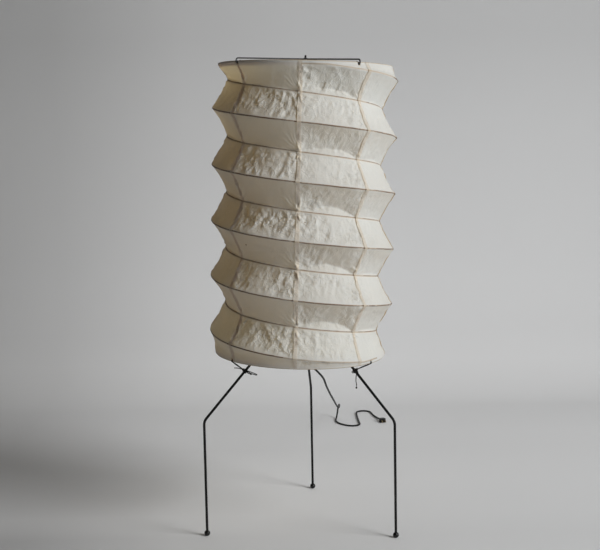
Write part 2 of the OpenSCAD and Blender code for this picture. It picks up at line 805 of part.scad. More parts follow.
paper_gore(2);  // paper_gore_3
paper_gore(3);  // paper_gore_4
paper_gore(4);  // paper_gore_5
paper_gore(5);  // paper_gore_6
paper_gore(6);  // paper_gore_7
paper_gore(7);  // paper_gore_8
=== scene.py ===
"""Paper lantern floor lamp: paper, bamboo, cord, strings and finishes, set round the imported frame."""

import json
import math

import bpy
import numpy as np
from mathutils import Matrix, Vector


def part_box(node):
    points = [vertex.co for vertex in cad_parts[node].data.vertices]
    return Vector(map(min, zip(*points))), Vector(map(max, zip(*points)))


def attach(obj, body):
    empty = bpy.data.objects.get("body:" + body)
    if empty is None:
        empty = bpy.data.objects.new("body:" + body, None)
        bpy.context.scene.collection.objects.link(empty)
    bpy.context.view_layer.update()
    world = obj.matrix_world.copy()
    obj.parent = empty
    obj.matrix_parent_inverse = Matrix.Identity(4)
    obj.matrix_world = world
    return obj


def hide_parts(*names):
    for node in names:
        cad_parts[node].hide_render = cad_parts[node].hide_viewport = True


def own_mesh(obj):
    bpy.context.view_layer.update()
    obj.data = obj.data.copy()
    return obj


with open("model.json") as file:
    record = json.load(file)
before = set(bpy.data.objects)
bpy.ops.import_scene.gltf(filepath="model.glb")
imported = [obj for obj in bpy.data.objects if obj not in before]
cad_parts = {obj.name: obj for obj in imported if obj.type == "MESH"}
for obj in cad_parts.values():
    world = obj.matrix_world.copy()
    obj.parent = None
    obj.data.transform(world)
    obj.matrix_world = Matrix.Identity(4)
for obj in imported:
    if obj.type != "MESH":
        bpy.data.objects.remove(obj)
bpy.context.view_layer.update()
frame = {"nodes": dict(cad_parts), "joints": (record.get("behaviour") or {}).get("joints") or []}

# ---- sizes in metres and angles in degrees, from the front towards the right, on the upright lamp ----

TURN = 360.0
GORES = 8
GORE_ANGLE = TURN / GORES
SEAM_ANGLE = -3.3
HELIX_TURNS = 5.183
RIDGE_R = 0.250
VALLEY_R = 0.209
RING_R = 0.232
RING_ROD_R = 0.002
HEM_R = RING_ROD_R + 0.0006
RIM_R = RING_R + HEM_R
HEM_H = 0.0025
HEM_INSIDE = 0.009
RIM_RAMP = 0.025
RIB_R = 0.00175
RIB_LIFT = 0.00695
RIDGE_SEAT = 0.0023
VALLEY_SEAT = 0.0020
MEAN_R = (RIDGE_R + VALLEY_R) / 2

# The paper's mesh: its grid, the laps of the sheets and how round the paper turns over a cane
GRID = 0.0025
LAP = 0.0056
LAP_LIFT = 0.00045
LAP_EASE = 0.007
CREASE_ROUND = 0.0013

FOOT_CIRCLE_R = 0.294
STRING_D = 0.0026
CORD_D = 0.006

# How far the fold of each sheet lies above the inner helix at the middle of the sheet
FOLD_LIFT = [0.018, 0.005, 0.006, 0.008, 0.005, 0.007, 0.006, 0.004]
FOLD_DEPTH = 0.55
FOLD_SPREAD = 2.6
FOLD_WANDER = 0.3
FOLD_WANDER_CELL = 0.045
FOLD_SEED = 31
MAX_FOLD_SHARE = 0.45
# No fold lies this near the bottom ring, and all folds and creases fade out this near both rims
LAST_FOLD = 0.02
RIM_FADE = 0.03
# How far the paper draws in between two canes at the middle of a sheet, and how much less at its seams
FLATTEN = 0.0055
FLATTEN_EASE = 0.6
# How strongly each sheet is crumpled where it faces up, and where it faces down
CRUMPLE_UP = [0.95, 0.45, 0.8, 1.1, 0.9, 1.0, 0.40, 1.40]
CRUMPLE_DOWN = [1.15, 0.45, 0.4, 0.5, 0.4, 0.5, 0.20, 0.16]
# The strength at a seam, and how far from it the sheet's own takes over
CRUMPLE_SEAM = 0.6
CRUMPLE_BLEND = 0.015
# More crumples near a seam: the share far from it, what a seam adds and how far that reaches
CRUMPLE_SHARE = 0.55
CRUMPLE_RAISED = 0.6
CRUMPLE_REACH = 0.03
# Patches of more and fewer crumples: mean and spread, and their size and seed
PATCH_MEAN = 0.7
PATCH_SPREAD = 0.5
PATCHES = (0.05, 41)
# Crumples made of flat facets: height, size of a facet, seed and slant
FACET_RELIEF = [(0.0038, 0.026, 3, 1), (0.0031, 0.0125, 5, -1), (0.0016, 0.0065, 9, 1)]
# Crumples made of soft creases: height, size and seed
SOFT_RELIEF = [(0.0028, 0.020, 61), (0.0026, 0.011, 71)]
# Faint streaks round the shade: height, and their size, seed and share of that size up the shade
STREAK_HEIGHT = 0.00022
STREAKS = (0.05, 51, 0.12)
# A crease this high counts as fully creased
FULL_CREASE = 0.0022
# Crumples die out this near a cane and a rim; a slope from cane to cane is taken as this long
RIB_CLEAR = 0.007
RIM_CLEAR = 0.02
SLOPE_LENGTH = 0.075

# The cord's route, from the strain relief to the plug
CORD_POINTS = [
    (-0.0294, 0.0327, 0.5857), (-0.028, 0.036, 0.556), (-0.019, 0.054, 0.512), (-0.003, 0.082, 0.466),
    (0.021, 0.116, 0.422), (0.046, 0.160, 0.388), (0.062, 0.217, 0.358), (0.074, 0.330, 0.309),
    (0.092, 0.550, 0.235), (0.124, 0.940, 0.110), (0.135, 1.080, 0.073), (0.139, 1.140, 0.064),
    (0.1405, 1.178, 0.0605), (0.140, 1.199, 0.057), (0.1385, 1.2135, 0.049), (0.136, 1.221, 0.035),
    (0.1335, 1.219, 0.0195), (0.1305, 1.208, 0.008), (0.128, 1.191, 0.0036), (0.126, 1.170, 0.0032),
    (0.1275, 1.145, 0.0032), (0.136, 1.118, 0.0032), (0.151, 1.0955, 0.0032), (0.1675, 1.0795, 0.0032),
    (0.1815, 1.0725, 0.0032), (0.197, 1.074, 0.0032), (0.209, 1.084, 0.0032), (0.214, 1.099, 0.0032),
    (0.2135, 1.130, 0.0032), (0.2115, 1.185, 0.0032), (0.2105, 1.245, 0.0032), (0.212, 1.288, 0.0032),
    (0.2175, 1.305, 0.0032), (0.231, 1.3155, 0.0032), (0.2475, 1.3155, 0.0032), (0.262, 1.3045, 0.0032),
    (0.268, 1.288, 0.0032), (0.275, 1.240, 0.0032), (0.287, 1.189, 0.0046), (0.297, 1.152, 0.0075),
]
CORD_STEPS = 6

# ---- the lean of the stem and the shade, taken from the frame ----

JOINTS = {joint["name"]: joint for joint in frame["joints"]}
LEAN_AXIS = Vector(JOINTS["shade_lift"]["axis"])
PIVOT = Vector((0, 0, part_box("hub")[1].z))
LEAN = (
    Matrix.Translation(PIVOT)
    @ Matrix.Rotation(math.atan2(LEAN_AXIS.x, LEAN_AXIS.z), 4, "Y")
    @ Matrix.Rotation(-math.asin(LEAN_AXIS.y), 4, "X")
    @ Matrix.Translation(-PIVOT)
)


def middle(node):
    low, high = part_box(node)
    return (low + high) / 2


TOP_Z = (LEAN.inverted() @ middle("top_ring")).z
LOW_Z = (LEAN.inverted() @ middle("bottom_ring")).z
SHADE_H = TOP_Z - LOW_Z
PITCH = SHADE_H / HELIX_TURNS


def leaned(points):
    """Points of the upright frame, as they lie on the leaning shade."""
    turn = np.array(LEAN.to_3x3())
    return np.asarray(points, float) @ turn.T + np.array(LEAN.translation)


def polar(radius, degrees, z):
    """Points of the upright frame at this radius, angle and height."""
    a = np.radians(degrees)
    return np.stack(np.broadcast_arrays(radius * np.sin(a), -radius * np.cos(a), z), -1)


def ease(x):
    """0 below 0 and 1 above 1, with a smooth rise between them."""
    c = np.clip(x, 0, 1)
    return c * c * (3 - 2 * c)


# ---- mesh helpers ----

def in_scene(name, data):
    """A new object in the scene."""
    thing = bpy.data.objects.new(name, data)
    bpy.context.scene.collection.objects.link(thing)
    return thing


def new_piece(name, points, faces, material, body):
    """A smooth mesh of one material that rides on the body."""
    mesh = bpy.data.meshes.new(name)
    mesh.from_pydata(np.asarray(points).tolist(), [], [list(map(int, f)) for f in faces])
    mesh.polygons.foreach_set("use_smooth", [True] * len(mesh.polygons))
    mesh.materials.append(material)
    mesh.update()
    piece = in_scene(name, mesh)
    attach(piece, body)
    return piece


def set_attribute(piece, name, values):
    layer = piece.data.attributes.new(name, "FLOAT", "POINT")
    layer.data.foreach_set("value", np.asarray(values, np.float32).ravel())


def spline(points, steps):
    """A smooth curve through the points, with this many steps from each to the next."""
    p = np.asarray(points, float)
    last = len(p) - 1
    path = []
    for i in range(last):
        a, b, c, d = p[max(i - 1, 0)], p[i], p[i + 1], p[min(i + 2, last)]
        for t in np.arange(steps) / steps:
            curve = 2 * b + (c - a) * t + (2 * a - 5 * b + 4 * c - d) * t * t
            path.append(0.5 * (curve + (3 * b - a - 3 * c + d) * t ** 3))
    path.append(p[last])
    return np.array(path)


def carried_frames(path):
    """Two directions square to the path at each point, carried along it without twisting."""
    along = np.gradient(path, axis=0)
    along /= np.linalg.norm(along, axis=1, keepdims=True)
    side = np.cross(along[0], [0.31, 0.22, 0.92])
    first = []
    for t in along:
        side = side - t * (side @ t)
        side = side / np.linalg.norm(side)
        first.append(side)
    first = np.array(first)
    return first, np.cross(along, first)


def tube(path, radius, sides=12):
    """A closed tube along the path, as points and faces. The radius may change along it."""
    path = np.asarray(path, float)
    n = len(path)
    u, v = carried_frames(path)
    turn = np.linspace(0, 2 * math.pi, sides, endpoint=False)
    reach = np.broadcast_to(radius, (n,))[:, None, None]
    ring = u[:, None] * np.cos(turn)[:, None] + v[:, None] * np.sin(turn)[:, None]
    points = (path[:, None] + reach * ring).reshape(-1, 3)
    i, k = np.meshgrid(np.arange(n - 1), np.arange(sides), indexing="ij")
    a, b = i * sides + k, i * sides + (k + 1) % sides
    walls = np.stack([a, b, b + sides, a + sides], -1).reshape(-1, 4).tolist()
    ends = [list(range(sides))[::-1], list(range((n - 1) * sides, n * sides))]
    return points, walls + ends


def joined(parts):
    """Several pairs of points and faces as one."""
    points, faces, at = [], [], 0
    for p, f in parts:
        points.append(np.asarray(p))
        faces += [[i + at for i in face] for face in f]
        at += len(p)
    return np.concatenate(points), faces


def resampled(path, step):
    """The same path with evenly spaced points."""
    gaps = np.linalg.norm(np.diff(path, axis=0), axis=1)
    s = np.concatenate([[0], np.cumsum(gaps)])
    at = np.linspace(0, s[-1], max(3, int(s[-1] / step)))
    return np.stack([np.interp(at, s, path[:, i]) for i in range(3)], -1)


STRANDS = 3
STRAND_LAY = 0.0065
STRAND_STEP = 0.0006
STRAND_SIDES = 8
STRAND_R = STRING_D / 4.2


def twisted(path):
    """A string laid from strands that wind round the path."""
    path = resampled(path, STRAND_STEP)
    u, v = carried_frames(path)
    reach = STRING_D / 2 - STRAND_R
    s = np.arange(len(path)) * STRAND_STEP
    parts = []
    for k in range(STRANDS):
        a = 2 * math.pi * (s / STRAND_LAY + k / STRANDS)
        strand = path + reach * (u * np.cos(a)[:, None] + v * np.sin(a)[:, None])
        parts.append(tube(strand, STRAND_R, STRAND_SIDES))
    return joined(parts)


# ---- materials ----

class Nodes:
    """A material's node tree, with short ways to add to it."""

    def __init__(self, name):
        self.material = bpy.data.materials.new(name)
        self.material.use_nodes = True
        self.tree = self.material.node_tree
        self.shader = self.tree.nodes["Principled BSDF"]
        self.place = self.add("ShaderNodeTexCoord").outputs["Object"]

    def add(self, kind, **settings):
        node = self.tree.nodes.new(kind)
        for key, value in settings.items():
            setattr(node, key, value)
        return node

    def link(self, a, b):
        self.tree.links.new(a, b)

    def stretched(self, scale):
        mapping = self.add("ShaderNodeMapping")
        mapping.inputs["Scale"].default_value = scale
        self.link(self.place, mapping.inputs["Vector"])
        return mapping.outputs["Vector"]

    def noise(self, scale, detail=3, vector=None, output="Fac"):
        node = self.add("ShaderNodeTexNoise")
        node.inputs["Scale"].default_value = scale
        node.inputs["Detail"].default_value = detail
        self.link(vector or self.place, node.inputs["Vector"])
        return node.outputs[output]

    def ramp(self, value, stops):
        node = self.add("ShaderNodeValToRGB")
        band = node.color_ramp.elements
        while len(band) < len(stops):
            band.new(0.5)
        for element, (at, colour) in zip(band, stops):
            element.position = at
            element.color = (*colour, 1)
        self.link(value, node.inputs["Fac"])
        return node.outputs["Color"]

    def mixed(self, factor, a, b, blend="MIX"):
        """Two colours mixed. Inputs 6 and 7 and output 2 are the mix node's colour sockets."""
        node = self.add("ShaderNodeMix", data_type="RGBA", blend_type=blend)
        if isinstance(factor, (int, float)):
            node.inputs["Factor"].default_value = factor
        else:
            self.link(factor, node.inputs["Factor"])
        for socket, value in ((node.inputs[6], a), (node.inputs[7], b)):
            if isinstance(value, tuple):
                socket.default_value = (*value, 1)
            else:
                self.link(value, socket)
        return node.outputs[2]

    def ranged(self, value, low, high, to_low, to_high):
        node = self.add("ShaderNodeMapRange")
        self.link(value, node.inputs["Value"])
        for end, number in (("From Min", low), ("From Max", high), ("To Min", to_low), ("To Max", to_high)):
            node.inputs[end].default_value = number
        return node.outputs["Result"]

    def product(self, a, b, factor=1.0):
        node = self.add("ShaderNodeMath", operation="MULTIPLY")
        self.link(a, node.inputs[0])
        if isinstance(b, (int, float)):
            node.inputs[1].default_value = b
        else:
            self.link(b, node.inputs[1])
        return node.outputs["Value"] if factor == 1.0 else self.product(node.outputs["Value"], factor)

    def sum(self, *values):
        total = values[0]
        for value in values[1:]:
            node = self.add("ShaderNodeMath", operation="ADD")
            self.link(total, node.inputs[0])
            self.link(value, node.inputs[1])
            total = node.outputs["Value"]
        return total

    def crease_lines(self, scale, vector, width):
        """1 on the lines of a network of cells, falling to 0 at this share of a cell from them."""
        node = self.add("ShaderNodeTexVoronoi", feature="DISTANCE_TO_EDGE")
        node.inputs["Scale"].default_value = scale
        self.link(vector, node.inputs["Vector"])
        return self.ranged(node.outputs["Distance"], 0, width, 1, 0)

    def bump(self, value, strength, distance):
        node = self.add("ShaderNodeBump")
        node.inputs["Strength"].default_value = strength
        node.inputs["Distance"].default_value = distance
        self.link(value, node.inputs["Height"])
        self.link(node.outputs["Normal"], self.shader.inputs["Normal"])
        return node.outputs["Normal"]

    def set(self, **values):
        """Numbers for the shader's own sockets, with _ for each space in a socket's name."""
        for name, value in values.items():
            self.shader.inputs[name.replace("_", " ")].default_value = value

    def colour(self, value):
        self.link(value, self.shader.inputs["Base Color"])

    def roughness(self, value):
        self.link(value, self.shader.inputs["Roughness"])

    def attribute(self, name):
        return self.add("ShaderNodeAttribute", attribute_name=name).outputs["Fac"]

    def blended(self, second):
        """Mixes a second shader into the surface, and gives the socket for its share."""
        both = self.add("ShaderNodeMixShader")
        self.link(self.shader.outputs["BSDF"], both.inputs[1])
        self.link(second, both.inputs[2])
        self.link(both.outputs["Shader"], self.tree.nodes["Material Output"].inputs["Surface"])
        return both.inputs["Fac"]


PAPER_SPECK = (0.30, 0.20, 0.09)
# Creases lightened, partly wear and partly a painted highlight where they would catch the light
PAPER_WEAR_AND_HIGHLIGHT = (0.95, 0.95, 0.91)
LAP_TINT = (1.0, 0.935, 0.83)
# The cane's colour seen through the paper, with painted shade where the paper lies on it
CANE_TINT_AND_SHADE = (0.79, 0.61, 0.42)
GLOW_TINT = (0.92, 0.665, 0.305)
GLOW_LAP = (0.72, 0.60, 0.42)
# Creases letting more light through, partly wear and partly a painted highlight
GLOW_WEAR_AND_HIGHLIGHT = (1.0, 0.93, 0.76)
# Painted shadow of a cane in the light that comes through the paper
GLOW_CANE_SHADOW = (0.05, 0.025, 0.01)
GLOW_SHARE = 0.39
# Millimetres from a cane where its tint and painted shade show fully on the paper, and where no longer
RIB_SHOWS = (1.1, 2.3)


def washi_sheet(m, wear_and_highlight, lap):
    """The paper's colour: clouds, fibres, specks, laps, and creases lightened partly as wear and partly as
    a painted highlight.
    """
    cloud = m.noise(9, 4)
    fibres = m.noise(1, 6, m.stretched((260, 260, 900)))
    long_fibres = m.noise(1, 3, m.stretched((60, 60, 420)))
    pale = m.ramp(cloud, [(0.3, (0.84, 0.87, 0.855)), (0.7, (0.89, 0.92, 0.91))])
    laid = m.mixed(m.ranged(fibres, 0.35, 0.7, 0, 0.25), pale, (0.80, 0.80, 0.76))
    laid = m.mixed(m.ranged(long_fibres, 0.6, 0.75, 0, 0.25), laid, (0.91, 0.90, 0.87))
    specks = m.add("ShaderNodeTexVoronoi")
    specks.inputs["Scale"].default_value = 14
    m.link(m.place, specks.inputs["Vector"])
    speck = m.ranged(specks.outputs["Distance"], 0.018, 0.035, 1, 0)
    laid = m.mixed(speck, laid, PAPER_SPECK)
    laid = m.mixed(wear_and_highlight, laid, PAPER_WEAR_AND_HIGHLIGHT)
    return m.mixed(lap, laid, m.mixed(1.0, laid, LAP_TINT, "MULTIPLY"))


def washi_glow(m, laid, wear_and_highlight, lap, rib, normal):
    """The light that comes through the paper: warm, less through a lap, more on a crease as wear and a
    painted highlight, and almost none along a cane, as a painted shadow of the cane.
    """
    glow = m.add("ShaderNodeBsdfTranslucent")
    warm = m.mixed(1.0, laid, GLOW_TINT, "MULTIPLY")
    warm = m.mixed(lap, warm, m.mixed(1.0, warm, GLOW_LAP, "MULTIPLY"))
    warm = m.mixed(wear_and_highlight, warm, GLOW_WEAR_AND_HIGHLIGHT)
    m.link(m.mixed(rib, warm, GLOW_CANE_SHADOW), glow.inputs["Color"])
    m.link(normal, glow.inputs["Normal"])
    return glow.outputs["BSDF"]


def paper_material():
    m = Nodes("washi")
    m.set(Roughness=0.72, Specular_IOR_Level=0.28)
    lap = m.attribute("lap")
    rib = m.ranged(m.attribute("rib_gap"), *RIB_SHOWS, 1, 0)
    crumple = m.attribute("crumple")
    crease = m.attribute("crease")
    wandering = m.mixed(0.012, m.place, m.noise(38, 2, output="Color"), "LINEAR_LIGHT")
    lines = m.crease_lines(44, wandering, 0.055)
    fine_lines = m.crease_lines(96, wandering, 0.10)
    # Lines and creases lightened, partly as wear and partly as a painted highlight
    wear_and_highlight = m.sum(m.product(crumple, lines, 0.4), m.product(crease, 0.6))
    laid = washi_sheet(m, wear_and_highlight, lap)
    # Along each cane and in the hems the paper takes the cane's tint, partly a painted shade
    m.colour(m.mixed(m.ranged(rib, 0, 1, 0, 0.8), laid, CANE_TINT_AND_SHADE))
    height = m.sum(
        m.product(crumple, lines, 0.0011),
        m.product(crumple, fine_lines, 0.0006),
        m.product(m.noise(420, 4), 0.0001),
    )
    normal = m.bump(height, 1.0, 1.0)
    m.blended(washi_glow(m, laid, wear_and_highlight, lap, rib, normal)).default_value = GLOW_SHARE
    return m.material


def bamboo_material():
    m = Nodes("bamboo")
    m.set(Roughness=0.5)
    grain = m.noise(1, 5, m.stretched((90, 90, 700)))
    cloud = m.noise(16, 2)
    dark = m.ramp(grain, [(0.3, (0.10, 0.055, 0.026)), (0.7, (0.22, 0.13, 0.066))])
    m.colour(m.mixed(m.ranged(cloud, 0.5, 0.75, 0, 0.5), dark, (0.30, 0.19, 0.10)))
    m.bump(grain, 0.3, 0.0003)
    return m.material


def black_steel_material():
    m = Nodes("black_steel")
    m.set(Specular_IOR_Level=0.28)
    smear = m.noise(14, 5)
    grit = m.noise(900, 2)
    m.colour(m.ramp(smear, [(0.35, (0.0025, 0.0025, 0.0028)), (0.75, (0.0075, 0.0075, 0.0080))]))
    m.roughness(m.ranged(smear, 0.3, 0.7, 0.30, 0.48))
    m.bump(grit, 0.12, 0.0002)
    return m.material


def metal_material(name, low, high, roughness):
    m = Nodes(name)
    m.set(Metallic=1.0)
    streaks = m.noise(1, 4, m.stretched((40, 40, 600)))
    cloud = m.noise(60, 3)
    m.colour(m.ramp(cloud, [(0.3, low), (0.7, high)]))
    m.roughness(m.ranged(streaks, 0.3, 0.7, roughness - 0.08, roughness + 0.12))
    m.bump(streaks, 0.15, 0.0002)
    return m.material


def moulded_material(name, low, high, roughness, pits=1400, specular=0.5):
    m = Nodes(name)
    m.set(Specular_IOR_Level=specular)
    cloud = m.noise(70, 3)
    skin = m.noise(pits, 2)
    m.colour(m.ramp(cloud, [(0.3, low), (0.7, high)]))
    m.roughness(m.ranged(cloud, 0.3, 0.7, roughness - 0.06, roughness + 0.08))
    m.bump(skin, 0.2, 0.0002)
    return m.material


def opal_glass_material():
    m = Nodes("opal_glass")
    m.set(Roughness=0.16, Transmission_Weight=0.25)
    haze = m.noise(30, 3)
    m.colour(m.ramp(haze, [(0.3, (0.86, 0.85, 0.81)), (0.7, (0.93, 0.92, 0.89))]))
    return m.material


def string_material():
    m = Nodes("string")
    m.set(Roughness=0.85)
    fuzz = m.noise(1600, 4)
    m.colour(m.ramp(fuzz, [(0.3, (0.003, 0.003, 0.003)), (0.7, (0.012, 0.011, 0.010))]))
    m.bump(fuzz, 0.5, 0.0003)
    return m.material


PAPER = paper_material()
BAMBOO = bamboo_material()
STEEL = black_steel_material()
STRING = string_material()
FOOT = moulded_material("foot_gloss", (0.003, 0.003, 0.003), (0.007, 0.007, 0.007), 0.26, specular=0.4)
GRUB = metal_material("grub_steel", (0.20, 0.20, 0.21), (0.34, 0.34, 0.35), 0.38)
BRASS = metal_material("satin_brass", (0.50, 0.37, 0.15), (0.66, 0.51, 0.24), 0.34)
CONTACT = metal_material("contact_brass", (0.30, 0.23, 0.11), (0.42, 0.32, 0.17), 0.40)
CAP = metal_material("rolled_cap", (0.62, 0.62, 0.60), (0.76, 0.76, 0.74), 0.32)
WIRE = metal_material("drawn_wire", (0.055, 0.055, 0.058), (0.10, 0.10, 0.104), 0.44)
PORCELAIN = moulded_material("porcelain", (0.82, 0.80, 0.73), (0.88, 0.86, 0.80), 0.22, 500)
KNOB = moulded_material("knob", (0.024, 0.020, 0.018), (0.040, 0.035, 0.031), 0.45)
CORD = moulded_material("cord_jacket", (0.003, 0.003, 0.003), (0.008, 0.008, 0.008), 0.55, specular=0.25)
PLUG = moulded_material("plug", (0.004, 0.004, 0.004), (0.010, 0.010, 0.010), 0.45, specular=0.3)
GLASS = opal_glass_material()

CARRIED_OVER = {
    STEEL: ["leg_front_left", "leg_front_right", "leg_rear", "hub", "stem", "holder_bracket"],
    FOOT: ["foot_front_left", "foot_front_right", "foot_rear"],
    GRUB: ["hub_grub_screws"],
    BRASS: ["threaded_tube", "tube_nut", "holder_cap", "holder_shell"],
    CONTACT: ["screw_shell", "centre_contact", "plug_blades"],
    CAP: ["bulb_cap"],
    WIRE: ["crossbar"],
    PORCELAIN: ["holder_block"],
    KNOB: ["switch_knob"],
    CORD: ["cord_strain_relief", "cord_inner"],
    PLUG: ["plug_body"],
    GLASS: ["bulb_glass"],
    BAMBOO: ["top_ring", "bottom_ring"],
}


def finish_carried_over():
    for material, names in CARRIED_OVER.items():
        for name in names:
            mesh = frame["nodes"][name].data
            mesh.materials.clear()
            mesh.materials.append(material)


# ---- the paper's surface: radius at an angle from the first seam and a depth below the top ring ----

def row_radius(row, depth):
    """Radius over a helix: even rows are the outer one, odd rows the inner one."""
    full = np.where(row % 2 == 0, RIDGE_R, VALLEY_R)
    return RIM_R + (full - RIM_R) * ease(depth / RIM_RAMP) * ease((SHADE_H - depth) / RIM_RAMP)


def rows_round(turn, depth):
    """The helix rows above and below a point, with their depths and radii."""
    row = np.floor(2 * (depth / PITCH - turn / TURN))
    upper = PITCH * (turn / TURN + row / 2)
    lower = upper + PITCH / 2
    upper_r = np.where(upper < HEM_H, RIM_R, row_radius(row, upper))
    lower_r = np.where(lower > SHADE_H - HEM_H, RIM_R, row_radius(row + 1, lower))
    return row, np.maximum(upper, HEM_H), np.minimum(lower, SHADE_H - HEM_H), upper_r, lower_r


def across_sheet(turn):
    """-1 at a sheet's left seam, 0 at its middle, 1 at its right; and the sheet's number."""
    share = np.mod(turn, TURN) / GORE_ANGLE
    return 2 * np.mod(share, 1) - 1, np.floor(share).astype(int) % GORES


NOISE_ROWS = 256
NOISE_START = 8


def rolling(turn, y, cell, seed, tall=1.0):
    """Soft noise between -1 and 1 that joins up all round; tall stretches it up the shade."""
    count = max(3, int(round(2 * math.pi * MEAN_R / cell)))
    table = np.random.RandomState(seed).uniform(-1, 1, (count, NOISE_ROWS))
    u, v = turn / TURN * count, y / (cell * tall) + NOISE_START
    i, j = np.floor(u).astype(int), np.floor(v).astype(int)
    a, b = ease(u - i), ease(v - j)
    i0, i1, j0, j1 = i % count, (i + 1) % count, j % NOISE_ROWS, (j + 1) % NOISE_ROWS
    upper = table[i0, j0] * (1 - a) + table[i1, j0] * a
    lower = table[i0, j1] * (1 - a) + table[i1, j1] * a
    return upper * (1 - b) + lower * b


# How far the facets' lattice is bent, and over what length, both in facets
FACET_BEND = 0.9
FACET_BEND_CELL = 2.2


def facets(turn, y, cell, seed, slant):
    """Crumpled relief between -1 and 1: flat facets between random heights, joined up all round."""
    count = int(round(2 * math.pi * MEAN_R / cell))
    table = np.random.RandomState(seed).uniform(-1, 1, (count, count))
    bend_u = FACET_BEND * rolling(turn, y, FACET_BEND_CELL * cell, seed + 100)
    bend_v = FACET_BEND * rolling(turn, y, FACET_BEND_CELL * cell, seed + 200)
    u = turn / TURN * count + bend_u
    v = y / cell + slant * turn / TURN * count + bend_v
    i, j = np.floor(u).astype(int), np.floor(v).astype(int)
    a, b = u - i, v - j
    i0, i1, j0, j1 = i % count, (i + 1) % count, j % count, (j + 1) % count
    h00, h10, h01, h11 = table[i0, j0], table[i1, j0], table[i0, j1], table[i1, j1]
    near = h00 + a * (h10 - h00) + b * (h01 - h00)
    far = h11 + (1 - a) * (h01 - h11) + (1 - b) * (h10 - h11)
    return np.where(a + b < 1, near, far)


# Long creases: the seam they start at, depth, direction across and down, length, width and height
LONG_CREASES = [
    (0.0, 0.0752, 0.79, -0.62, 0.082, 0.0050, 0.0026),
    (0.0, 0.2257, 0.50, 0.87, 0.072, 0.0060, 0.0020),
    (0.0, 0.2350, -0.62, 0.78, 0.034, 0.0036, 0.0024),
    (-5.0, 0.2560, -0.96, 0.28, 0.060, 0.0036, -0.0022),
    (0.0, 0.3760, -0.55, 0.83, 0.058, 0.0045, 0.0022),
    (0.0, 0.5267, -0.84, -0.54, 0.046, 0.0036, 0.0020),
    (0.0, 0.5267, 0.90, 0.43, 0.075, 0.0060, 0.0018),
    (45.0, 0.0940, -0.90, 0.43, 0.060, 0.0050, 0.0020),
    (45.0, 0.2450, -0.86, -0.50, 0.055, 0.0045, 0.0022),
    (0.0, 0.7600, 1.00, -0.03, 0.125, 0.0034, 0.0020),
    (0.0, 0.7670, 1.00, 0.02, 0.100, 0.0030, -0.0018),
]

# Creases that fan up to the left of the first seam: angle and length; and their width and height
FAN = [(22, 0.060), (34, 0.080), (45, 0.070), (57, 0.062), (70, 0.050)]
FAN_CREASE = 0.0030

# How strongly the paper is drawn into creases at each seam
SEAM_STRAIN = [1.9, 1.4, 0.9, 0.9, 0.9, 0.9, 0.4, 1.0]
SEAM_SEED = 7
CREASES_A_SIDE = 7


def seam_creases():
    """Random creases on both sides of each seam where the inner helix meets it."""
    random = np.random.RandomState(SEAM_SEED)
    lines = []
    for seam in range(GORES):
        turn = seam * GORE_ANGLE
        for row in range(-1, 12, 2):
            depth = PITCH * (turn / TURN + row / 2)
            for side in (-1, 1):
                for _ in range(CREASES_A_SIDE):
                    angle = math.radians(random.uniform(12, 80)) * random.choice([-1, 1])
                    start = depth + random.uniform(-0.012, 0.012)
                    lines.append((
                        turn, start, side * math.cos(angle), math.sin(angle),
                        random.uniform(0.018, 0.055), random.uniform(0.0024, 0.0052),
                        SEAM_STRAIN[seam] * random.uniform(0.0008, 0.0022) * random.choice([-1, 1, 1]),
                    ))
    return lines


def fan_creases():
    """A regular fan of creases at each crossing of the first seam and the inner helix."""
    lines = []
    for k, row in enumerate(range(1, 10, 2)):
        for angle, length in FAN:
            a = math.radians(angle + 6 * math.sin(2.3 * k + angle))
            start = PITCH * row / 2 - 0.003 + 0.004 * math.sin(3 * k + angle)
            lines.append((0.0, start, -math.cos(a), -math.sin(a), length, FAN_CREASE, FAN_CREASE))
    return lines


# All creases: seam, depth, direction across and down, length, width and height
CREASES = seam_creases() + fan_creases() + LONG_CREASES
# How far a crease wanders from its straight line, and how often along it
CREASE_SWING = 0.0016
CREASE_WAVES = 160
# Where a crease begins before its start, and over what length it rises
CREASE_LEAD = 0.004
CREASE_RISE = 0.006


def crease_relief(turn, depth):
    total = np.zeros_like(depth)
    for seam, start, dx, dy, length, width, height in CREASES:
        x = (np.mod(turn - seam + TURN / 2, TURN) - TURN / 2) * math.radians(1) * MEAN_R
        if np.abs(x).min() > length:
            continue
        y = depth - start
        s = x * dx + y * dy
        off = np.abs(x * dy - y * dx + CREASE_SWING * np.sin(s * CREASE_WAVES))
        taper = ease(1 - s / length) * ease((s + CREASE_LEAD) / CREASE_RISE)
        total += height * np.clip(1 - off / width, 0, 1) * taper
    return total


def clear_of_rims(depth, reach):
    """0 at the top and bottom rims, 1 from this far inside them."""
    return ease(depth / reach) * ease((SHADE_H - depth) / reach)


def share_between(depth, start, span):
    return np.clip((depth - start) / np.maximum(span, 1e-4), 0, 1)


def surface_radius(turn, depth):
    """The radius without crumples, the share of the way to the next helix, and where it faces down."""
    row, upper, lower, upper_r, lower_r = rows_round(turn, depth)
    x, sheet = across_sheet(turn)
    down_facing = row % 2 == 0
    rim_fade = clear_of_rims(depth, RIM_FADE)
    lift = np.array(FOLD_LIFT)[sheet] * (1 - np.abs(x) ** FOLD_SPREAD) * rim_fade
    lift = lift * (1 + FOLD_WANDER * rolling(turn, lower, FOLD_WANDER_CELL, FOLD_SEED))
    folded = down_facing & (lower < SHADE_H - LAST_FOLD)
    lift = np.where(folded, np.minimum(lift, (lower - upper) * MAX_FOLD_SHARE), 0)
    fold_r = lower_r - FOLD_DEPTH * lift
    fold = lower - lift
    above = upper_r + (fold_r - upper_r) * share_between(depth, upper, fold - upper)
    below = fold_r + (lower_r - fold_r) * share_between(depth, fold, lift)
    radius = np.where(depth > fold, below, above)
    share = share_between(depth, upper, lower - upper)
    radius = radius - FLATTEN * np.sin(math.pi * share) * (1 - FLATTEN_EASE * x * x) * rim_fade
    return radius, share, down_facing


